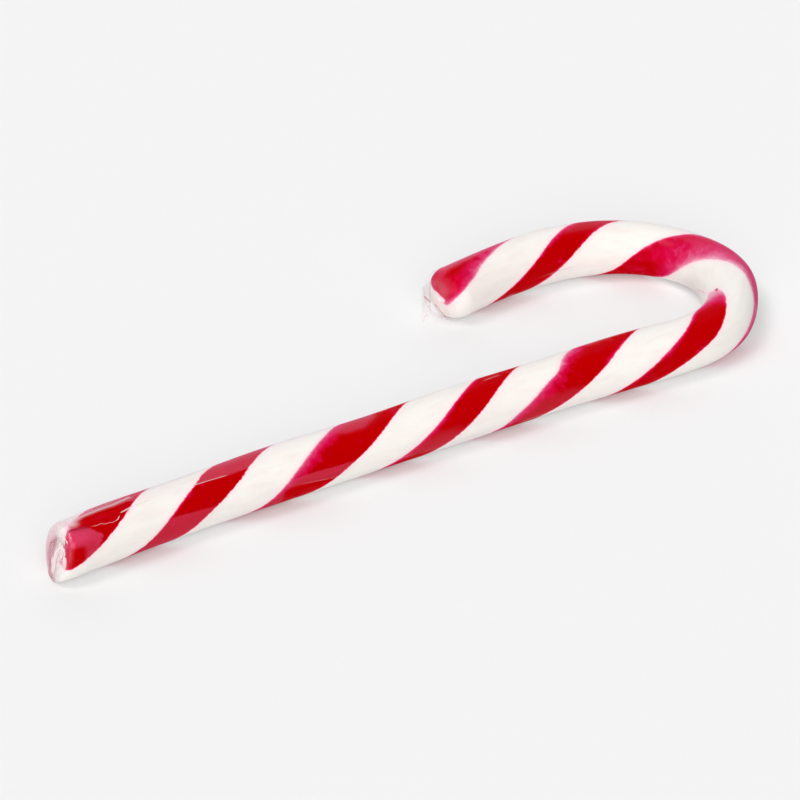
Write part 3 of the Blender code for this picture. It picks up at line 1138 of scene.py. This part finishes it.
@dataclass(frozen=True)
class Stroke:
    """A painted highlight along a hard fold or glint of the film, with its share of painted
    crevice shade; or a veil of painted sheen.

    Its points are (travel mm, turn degrees), or (out, across, height) in millimetres at an end.
    """

    points: tuple[tuple[float, ...], ...]
    white: float          # 1 where the painted mark hides what is under it
    width: float = 0.16   # millimetres
    tone: float = 0.0     # 0 for a painted highlight, 1 for painted shade in a deep crevice
    end: RodEnd | None = None


CREASES = (
    Crease(((1.0, 104.0), (5.8, 118.0), (6.8, 121.5), (7.8, 120.0), (8.5, 125.5), (9.8, 127.0),
            (11.4, 121.0), (13.5, 112.5), (18.8, 108.5), (27.5, 110.0), (34.0, 113.5),
            (48.0, 114.0)), 1.4),
    Crease(((14.0, 158.0), (21.0, 156.0), (30.5, 166.0), (47.0, 165.0), (57.2, 168.0),
            (66.0, 171.0)), 1.2),
    Crease(((38.0, 184.0), (47.0, 180.0), (56.0, 190.0), (64.0, 192.0)), 1.0),
)

# Painted highlights along the film's folds and glints, some with painted crevice shade.
STROKES = (
    Stroke(((5.0, 116.5), (5.8, 118.0), (6.8, 121.5), (7.8, 120.0), (8.5, 125.5), (9.3, 124.5),
            (9.8, 127.0), (10.8, 126.0)), 0.6, 0.11),
    Stroke(((10.5, 126.2), (11.2, 124.5), (11.5, 121.5), (11.7, 119.5)), 1.0, 0.16),
    Stroke(((12.2, 114.0), (13.5, 112.5), (15.4, 109.0)), 0.9, 0.3),
    Stroke(((15.0, 110.0), (19.0, 108.5)), 0.4),
    Stroke(((0.9, 105.0), (3.0, 110.0), (5.6, 117.5)), 0.9, 0.6, 1.0),
    Stroke(((2.4, 115.0), (3.4, 113.0), (4.2, 116.0)), 0.6, 0.22, 0.9),
    Stroke(((27.0, 110.0), (30.5, 111.2), (34.5, 113.8)), 0.8),
    Stroke(((47.0, 180.0), (50.0, 184.0), (53.5, 190.0), (57.0, 191.0)), 0.25),
    Stroke(((64.5, 192.0), (67.0, 199.0), (72.0, 203.0), (76.0, 207.0)), 0.3),
    Stroke(((93.0, 212.0), (95.5, 213.0), (98.5, 212.0)), 0.6, 0.22),
    Stroke(((87.8, 88.5), (90.0, 85.5), (92.0, 84.0)), 0.6),
    Stroke(((109.0, 78.0), (112.0, 76.0), (115.0, 74.0)), 0.4),
    Stroke(((143.8, 61.5), (145.2, 60.0)), 0.9, 0.8, 1.0),
    Stroke(((135.0, 58.0), (138.5, 48.0), (142.0, 40.0)), 0.5),
    Stroke(((146.0, 30.0), (151.0, 12.0), (155.0, 0.0)), 0.3),
    Stroke(((203.4, -35.0), (206.2, -33.0)), 0.9),
    Stroke(((189.0, -2.0), (199.0, -9.0)), 0.3),
    Stroke(((1.3, 0.0, 3.3), (1.3, 0.0, 2.1), (1.4, 0.0, 1.1), (1.4, 0.0, -0.1)), 0.5, 0.4, 0.6,
           FOOT),
    Stroke(((1.3, 0.0, -0.8), (1.0, 0.0, -1.8), (0.6, -0.2, -2.7)), 0.5, 0.4, 0.6, FOOT),
    Stroke(((-0.7, -0.5, 4.5), (-0.2, -0.5, 4.0), (0.2, -0.8, 3.1), (0.5, -1.3, 2.4),
            (0.6, -0.8, 1.3), (0.6, -0.7, 0.3), (0.6, -0.5, -0.9), (0.5, -0.9, -1.6)), 1.0, 0.4,
           0.0, FOOT),
    Stroke(((-0.5, -0.6, 4.4), (-0.3, -1.2, 4.1), (-0.5, -2.4, 3.8), (-0.3, -2.8, 3.3)), 1.0, 0.4,
           0.0, FOOT),
    Stroke(((-0.3, -1.8, 3.9), (-0.3, -2.7, 3.4), (-0.3, -3.1, 3.1), (-0.1, -3.1, 2.7),
            (0.0, -3.2, 2.1)), 0.6, 0.35, 0.9, FOOT),
    Stroke(((0.3, -2.4, 0.8), (0.2, -3.1, 1.5), (0.1, -3.1, 1.9), (0.0, -2.8, 2.5)), 1.0, 0.4,
           0.0, FOOT),
    Stroke(((-0.7, -3.3, 3.2), (-0.7, -3.6, 2.9)), 0.6, 0.4, 1.0, FOOT),
    Stroke(((2.6, -1.2, 1.8), (1.5, -1.2, 0.3), (0.7, -1.2, -0.8)), 0.8, 0.35, 0.7, TIP),
    Stroke(((0.7, -0.6, -0.8), (0.5, 0.6, -1.5), (0.3, 1.2, -2.2), (0.2, 2.1, -2.8)), 0.7, 0.6,
           0.45, TIP),
    Stroke(((0.2, 1.4, -2.4), (0.2, 2.0, -2.5)), 0.6, 0.35, 1.0, TIP),
    Stroke(((1.2, -1.2, -1.0), (0.5, -0.2, -2.0), (0.4, 0.8, -2.6), (0.2, 1.8, -2.7)), 0.8, 0.35,
           0.0, TIP),
    Stroke(((2.9, -1.3, -2.8), (1.8, -1.3, -2.8), (0.6, -0.7, -3.3), (0.2, 0.9, -3.4),
            (-0.2, 2.0, -3.5)), 0.9, 0.3, 0.0, TIP),
)

# Painted sheens: soft pale reflections laid on the film as veils.
PAINTED_SHEENS = (
    Stroke(((0.2, -30.0), (0.0, 0.0), (0.2, 36.0), (1.0, 60.0), (2.2, 78.0), (3.4, 92.0)), 0.7, 3.4),
    Stroke(((1.4, 103.0), (3.2, 93.0), (5.2, 84.0)), 0.55, 2.0),
    Stroke(((3.0, 92.0), (6.0, 84.0), (9.0, 84.0), (12.5, 85.5), (16.0, 80.0)), 0.5, 1.5),
    Stroke(((4.0, 76.0), (9.0, 74.0), (14.0, 72.0)), 0.35, 0.8),
)

LOOSE_PATCHES = (
    LoosePatch(((3.0, 30.0), (3.0, 84.0), (12.0, 86.0), (15.0, 92.0), (18.8, 108.5),
                (27.5, 110.0), (34.0, 113.8), (46.0, 112.0), (51.0, 96.0), (54.0, 30.0)), 1.0,
               painted_haze=0.3),
    LoosePatch(((1.2, 106.0), (5.6, 119.0), (6.4, 132.0), (7.4, 140.0), (6.6, 152.0),
                (5.0, 168.0), (3.4, 186.0), (1.8, 194.0), (-1.0, 194.0), (-1.0, 108.0)), 0.75,
               painted_haze=0.8),
    LoosePatch(((-0.4, 104.0), (1.4, 108.0), (4.6, 120.0), (4.4, 136.0), (0.8, 138.0),
                (-0.6, 130.0)), 1.0, 1.6, 1.0),
    LoosePatch(((-0.6, 150.0), (6.0, 144.0), (4.6, 200.0), (-0.6, 200.0)), 0.5, 2.4, 0.45),
    LoosePatch(((0.8, 142.0), (3.3, 149.0), (2.9, 190.0), (0.4, 186.0)), 0.0, 1.0, 0.0),
    LoosePatch(((14.0, 158.0), (21.0, 158.0), (30.5, 166.0), (40.0, 168.0), (44.0, 176.0),
                (44.0, 245.0), (12.0, 245.0)), 0.3, 0.4, 0.3),
    LoosePatch(((38.0, 166.0), (47.0, 164.0), (57.2, 168.0), (65.0, 173.0), (60.0, 191.0),
                (53.2, 190.0), (47.0, 180.0), (40.2, 186.0)), 0.45, painted_haze=0.3),
    LoosePatch(((64.0, 180.0), (78.0, 172.0), (86.0, 190.0), (86.0, 245.0), (62.0, 245.0)),
               0.9, 2.5),
    LoosePatch(((60.0, 212.0), (64.0, 197.0), (73.0, 202.0), (76.0, 210.0), (72.0, 230.0),
                (60.0, 235.0)), 0.0, 0.2, 0.0),
    LoosePatch(((88.0, 172.0), (104.0, 168.0), (112.0, 190.0), (112.0, 245.0), (86.0, 245.0)),
               0.55, 2.5),
    LoosePatch(((86.0, 216.0), (91.0, 208.0), (99.0, 214.0), (99.0, 240.0), (86.0, 240.0)),
               0.0, 0.2, 0.0),
    LoosePatch(((53.0, 46.0), (56.0, 92.0), (58.5, 104.0), (62.5, 106.0), (66.0, 84.0),
                (67.0, 46.0)), 0.8, 1.4, 0.3),
    LoosePatch(((146.0, 58.0), (149.0, 130.0), (166.0, 126.0), (173.0, 100.0), (171.0, 58.0)),
               0.5, 3.0),
    LoosePatch(((180.0, 74.0), (181.0, 124.0), (190.0, 124.0), (194.0, 90.0), (190.0, 74.0)),
               0.6, 2.5),
    LoosePatch(((199.0, 108.0), (208.0, 101.0), (218.0, 94.0), (220.0, 150.0), (199.0, 150.0)),
               0.9, 1.4, 0.55),
    LoosePatch(((218.0, 40.0), (222.0, 30.0), (222.0, 110.0), (218.0, 100.0)), 0.1, 2.0, 0.5),
)


def standing_off(travel: np.ndarray, turn: np.ndarray, radius: float) -> np.ndarray:
    """How free of the sugar the film is, and how much painted haze, a painted reflection of the
    film, the sugar under it gets.

    Args:
        travel: lengths along the rod.
        turn: degrees round it.
        radius: the rod's mean radius.

    Returns:
        Two rows, both 0 to 1.
    """
    to_arc = math.radians(1.0) * radius
    spots = np.stack([travel, turn * to_arc], 1)
    found = np.zeros((2, len(travel)))
    for patch in LOOSE_PATCHES:
        corners = np.array(patch.corners) * (MM, to_arc)
        share = ease(depth_inside(spots, corners) / (patch.fade * MM) + 0.5)
        found += (np.array([[patch.share], [patch.painted_haze]]) - found) * share
    return found


@dataclass
class WrapperFilm:
    """The clear film: tight along the rod, gathered and folded at both ends."""

    line: RodLine
    station_step: float = 0.42 * MM
    sides: int = 144
    round_length: float = 2.4 * MM
    round_depth: float = 1.6 * MM
    round_rings: int = 12
    gather_rings: int = 24
    fold_rings: int = 8
    face_bulge: float = 0.6 * MM
    pleat_depth: float = 0.16 * MM
    pleats: float = 2.5
    fold_half_thickness: float = 0.06 * MM
    fold_skew_share: float = 0.3
    fold_closing: float = 0.999    # how far the fold's last section is drawn together
    end_zone: float = 2.0          # rounded lengths within which an end's own folds lie
    stroke_fade: float = 3.0       # a fold fades over one part in this of its outer lengths
    crease_step: float = 0.4 * MM
    crease_fade: float = 0.12      # share of a crease over which each end sinks
    ripple: float = 0.03 * MM
    ripple_scale: tuple[float, float, float] = (
        1.0 / (9.0 * MM), 1.0 / (2.0 * MM), 1.0 / (2.0 * MM))
    crumple: float = 0.22 * MM
    crumple_scale: tuple[float, float, float] = (0.0, 1.0 / (0.8 * MM), 1.0 / (4.0 * MM))
    seed: float = 11.0

    def end_rings(self, end: RodEnd) -> Rings:
        """Sections from the full film round, over the face and out along the fold."""
        rings = Rings()
        radius = float(self.line.radius_at(end.place))
        skew = (end.skew_left, end.skew_up)
        for index in range(1, self.round_rings + 1):
            share = index / self.round_rings
            angle = 0.5 * math.pi * share
            slump = 1.0 - math.cos(angle)
            size = radius - self.round_depth * slump
            rings.add(end.place - end.outward * self.round_length * (1.0 - math.sin(angle)),
                      size, size, size,
                      radius - self.line.underside_flat - end.slump_down * slump,
                      end.slump_right * slump, (skew[0] * share, skew[1] * share),
                      float(ease((share - end.gather_from) / (1.0 - end.gather_from))))
        face = radius - self.round_depth
        middle = radius - self.line.underside_flat
        for index in range(1, self.gather_rings + 1):
            share = index / self.gather_rings
            width = face + (self.fold_half_thickness - face) * share
            up = face + (end.fold_half_height - face) * share
            pleat = self.pleat_depth * math.sin(2.0 * math.pi * self.pleats * share)
            out = self.face_bulge * math.sin(0.5 * math.pi * share) + pleat * (1.0 - share)
            rings.add(end.place + end.outward * out,
                      width, width, up, middle - end.slump_down * (1.0 - share),
                      end.slump_right + (end.fold_right - end.slump_right) * share, skew, 1.0)
        for index in range(1, self.fold_rings + 1):
            share = index / self.fold_rings
            kept = 1.0 - (1.0 - self.fold_skew_share) * share
            thick = self.fold_half_thickness
            if index == self.fold_rings:
                thick *= 1.0 - self.fold_closing
            rings.add(end.place + end.outward * (self.face_bulge + end.fold_reach * share),
                      thick, thick, end.fold_half_height, middle - end.fold_droop * share,
                      end.fold_right, (skew[0] * kept, skew[1] * kept), 1.0)
        return rings

    def body_rings(self) -> Rings:
        """Full sections between the gathered ends."""
        rings = Rings()
        first = self.round_length
        last = self.line.length - first
        for travel in np.linspace(first, last, round((last - first) / self.station_step)):
            radius = float(self.line.radius_at(travel))
            rings.add(travel, self.line.left_at(travel), self.line.right_at(travel), radius,
                      radius - self.line.underside_flat)
        return rings

    def unrolled(self, points: tuple[tuple[float, float], ...]) -> np.ndarray:
        """Points given as travel and turn, on the unrolled film."""
        return np.array(points) * (MM, math.radians(1.0) * self.line.radius)

    def crease_lines(self) -> bpy.types.Object:
        """All creases, drawn on the unrolled film."""
        points, edges, widths = [], [], []
        for crease in CREASES:
            knots = self.unrolled(crease.points)
            run = np.concatenate(([0.0], np.cumsum(np.hypot(*np.diff(knots, axis=0).T))))
            steps = max(2, round(run[-1] / self.crease_step))
            marks = np.linspace(0.0, run[-1], steps)
            fade = ease(np.minimum(marks, run[-1] - marks) / (self.crease_fade * run[-1]))
            first = len(points)
            points += [(float(np.interp(m, run, knots[:, 0])), float(np.interp(m, run, knots[:, 1])),
                        0.0) for m in marks]
            edges += [(first + i, first + i + 1) for i in range(steps - 1)]
            widths += list(crease.width * MM * fade)
        mesh = bpy.data.meshes.new("crease_lines")
        mesh.from_pydata(points, edges, [])
        store = mesh.attributes.new("width", "FLOAT", "POINT")
        store.data.foreach_set("value", np.array(widths, np.float32))
        made = bpy.data.objects.new("crease_lines", mesh)
        bpy.context.scene.collection.objects.link(made)
        return made

    def stroke_fields(self, piece: bpy.types.Object) -> dict[str, np.ndarray]:
        """The nearest painted fold line, highlight and crevice shade, to each point of the film.

        Args:
            piece: the film.

        Returns:
            Distance to it in half widths, negative on one side; its whiteness as painted highlight;
            its share of painted crevice shade; and how much a veil of painted sheen hides.
        """
        travel, turn, gather = (read_field(piece, label) for label in ("travel", "turn", "gather"))
        section = read_vectors(piece, "section")[:, 1:]
        along = np.stack([travel, turn * self.line.radius], 1)
        normals = np.empty(3 * len(travel), np.float32)
        piece.data.vertex_normals.foreach_get("vector", normals)
        normals = normals.reshape(-1, 3).astype(float)
        fields = {"aside": np.full(len(travel), FAR_AWAY), "white": np.zeros(len(travel)),
                  "tone": np.zeros(len(travel)), "painted_sheen": np.zeros(len(travel))}
        for painted_sheen in PAINTED_SHEENS:
            knots = self.unrolled(painted_sheen.points)
            gap = np.min([nearest_on(along, *pair)[0] for pair in zip(knots, knots[1:])], axis=0)
            shown = painted_sheen.white * bump(gap, 0.5 * painted_sheen.width * MM)
            fields["painted_sheen"] = np.maximum(fields["painted_sheen"], shown)
        for stroke in STROKES:
            if stroke.end is None:
                spots, knots = along, self.unrolled(stroke.points)
                here = np.ones(len(travel), bool)
                outward = np.array((0.0, 0.0, 1.0))
            else:
                out = (travel - stroke.end.place) * stroke.end.outward
                spots = np.column_stack([out, section])
                knots = np.array(stroke.points) * MM
                here = np.abs(out) < self.end_zone * self.round_length
                way = self.line.trace(np.array([stroke.end.place]))[2][0]
                ahead = normals[:, 0] * math.cos(way) + normals[:, 1] * math.sin(way)
                aleft = normals[:, 1] * math.cos(way) - normals[:, 0] * math.sin(way)
                outward = np.stack([stroke.end.outward * ahead, aleft, normals[:, 2]], 1)
            last = len(knots) - 2
            for index in range(last + 1):
                distance, share, off = nearest_on(spots, knots[index], knots[index + 1])
                way = knots[index + 1] - knots[index]
                level = ((0, 3 - len(way)),)
                turned = np.cross(np.pad(way, level[0]), np.pad(off, ((0, 0),) + level))
                side = np.where(np.sum(turned * outward, axis=1) < 0.0, -1.0, 1.0)
                distance = distance / (0.5 * stroke.width * MM)
                closer = here & (distance < np.abs(fields["aside"]))
                fade = np.ones(len(travel))
                if index == 0:
                    fade *= ease(share * self.stroke_fade)
                if index == last:
                    fade *= ease((1.0 - share) * self.stroke_fade)
                for label, values in (("aside", distance * side), ("white", stroke.white * fade),
                                      ("tone", stroke.tone)):
                    fields[label] = np.where(closer, values, fields[label])
        return fields

    def build(self, sweeper: Sweeper, material: bpy.types.Material) -> bpy.types.Object:
        """Make the film."""
        rings = self.end_rings(FOOT).backwards().joined(self.body_rings(), self.end_rings(TIP))
        creases = self.crease_lines()
        piece = sweeper.sweep("wrapper_film", rings, creases, material, {
            "Sides": self.sides, "Mean radius": self.line.radius, "Ripple": self.ripple,
            "Ripple scale": self.ripple_scale, "Crumple": self.crumple,
            "Crumple scale": self.crumple_scale, "Lowest": (*NO_SIDE_LIMIT, 0.0),
            "Seed": self.seed})
        bpy.data.objects.remove(creases)
        travel, turn, gather = (read_field(piece, label) for label in ("travel", "turn", "gather"))
        turn = np.degrees(turn)
        loose = standing_off(travel, turn, self.line.radius)[0]
        near_foot = travel < 0.5 * self.line.length
        write_field(piece, "loose", np.maximum(loose, gather * np.where(
            near_foot, FOOT.gather_loose, TIP.gather_loose)))
        # painted highlights in streaks over the gathered ends
        write_field(piece, "painted_gather_light", gather * np.where(near_foot, FOOT.gather_highlight,
                                                      TIP.gather_highlight))
        for label, values in self.stroke_fields(piece).items():
            write_field(piece, label, values)
        return piece


# ---------------------------------------------------------------------------
# studio
# ---------------------------------------------------------------------------


@dataclass(frozen=True)
class LightPanel:
    """One soft panel of the light tent."""

    towards: tuple[float, float, float]
    inner: float          # degrees from its middle where it starts to fade
    outer: float          # and where it has faded out
    strength: float


@dataclass
class Studio:
    """A pale table, soft light and the camera."""

    target: tuple[float, float, float] = (4.791 * MM, -1.834 * MM, 0.0)
    azimuth: float = math.radians(-32.5)
    elevation: float = math.radians(31.0)
    distance: float = 1241.1 * MM
    focal_length: float = 315.0
    sensor_width: float = 36.0
    clip_near: float = 0.05
    clip_far: float = 20.0
    floor_size: float = 6.0
    room_light: float = 0.03
    backdrop: float = 0.9
    panels: tuple[LightPanel, ...] = (
        LightPanel((-0.45, -0.70, 0.54), 16.0, 34.0, 4.9),
        LightPanel((-0.45, 0.0, 0.89), 8.0, 20.0, 8.0),
        LightPanel((0.46, 0.70, 0.55), 20.0, 45.0, 1.5),
        LightPanel((0.86, -0.35, 0.37), 12.0, 28.0, 0.5),
    )

    def camera(self) -> None:
        """The camera looks down at the lying cane."""
        data = bpy.data.cameras.new("studio_camera")
        data.lens, data.sensor_width = self.focal_length, self.sensor_width
        data.clip_start, data.clip_end = self.clip_near, self.clip_far
        made = bpy.data.objects.new("studio_camera", data)
        bpy.context.scene.collection.objects.link(made)
        back = Vector((math.sin(self.azimuth) * math.cos(self.elevation),
                       -math.cos(self.azimuth) * math.cos(self.elevation),
                       math.sin(self.elevation)))
        made.location = Vector(self.target) + back * self.distance
        made.rotation_mode = "QUATERNION"
        made.rotation_quaternion = (-back).to_track_quat("-Z", "Y")
        bpy.context.scene.camera = made

    def sky(self) -> None:
        """A light tent: soft panels in a dim room."""
        world = bpy.data.worlds.new("light_tent")
        world.use_nodes = True
        tree = world.node_tree
        tree.nodes.clear()
        way = add_node(tree, "ShaderNodeTexCoord").outputs["Generated"]
        total = self.room_light
        for panel in self.panels:
            towards = add_node(tree, "ShaderNodeVectorMath", {
                0: way, 1: Vector(panel.towards).normalized()}, operation="DOT_PRODUCT")
            share = add_node(tree, "ShaderNodeMapRange", {
                0: towards.outputs["Value"], 1: math.cos(math.radians(panel.outer)),
                2: math.cos(math.radians(panel.inner)), 3: 0.0, 4: panel.strength},
                interpolation_type="SMOOTHSTEP")
            total = add_node(tree, "ShaderNodeMath", {0: total, 1: share.outputs[0]},
                             operation="ADD").outputs[0]
        seen = add_node(tree, "ShaderNodeLightPath").outputs["Is Camera Ray"]
        shown = add_node(tree, "ShaderNodeMix", {0: seen, 2: total, 3: self.backdrop},
                         data_type="FLOAT")
        light = add_node(tree, "ShaderNodeBackground", {1: shown.outputs[0]})
        add_node(tree, "ShaderNodeOutputWorld", {0: light.outputs[0]})
        bpy.context.scene.world = world

    def build(self) -> bpy.types.Object:
        """Set the studio up."""
        half = 0.5 * self.floor_size
        mesh = bpy.data.meshes.new("studio_floor")
        mesh.from_pydata([(-half, -half, 0.0), (half, -half, 0.0), (half, half, 0.0),
                          (-half, half, 0.0)], [], [(0, 1, 2, 3)])
        mesh.materials.append(OpalTable().material())
        floor = bpy.data.objects.new("studio_floor", mesh)
        bpy.context.scene.collection.objects.link(floor)
        self.sky()
        self.camera()
        bpy.context.scene.view_settings.view_transform = "Standard"
        return floor


def main() -> None:
    """Build each piece in order and report it."""
    logging.basicConfig(level=logging.INFO, format="%(message)s")
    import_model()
    line = RodLine()
    foot_x, foot_y = line.origin(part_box(NODE_NAME)[1])
    LOG.info("foot of the rod at %.3f, %.3f mm", foot_x / MM, foot_y / MM)
    sweeper = Sweeper(line, foot_x, foot_y, SweepRule().build())
    rod = SugarRod(line).build(sweeper, BoiledSugar().material())
    film = WrapperFilm(line).build(sweeper, ClearFilm().material())
    for piece, slot in ((rod, Slot.SUGAR), (film, Slot.FILM)):
        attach(piece, BODY_NAME)
        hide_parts(NODE_NAME)
        LOG.info("%s: %d faces", piece.name, len(piece.data.polygons))
    Studio().build()


if __name__ == "__main__":
    main()
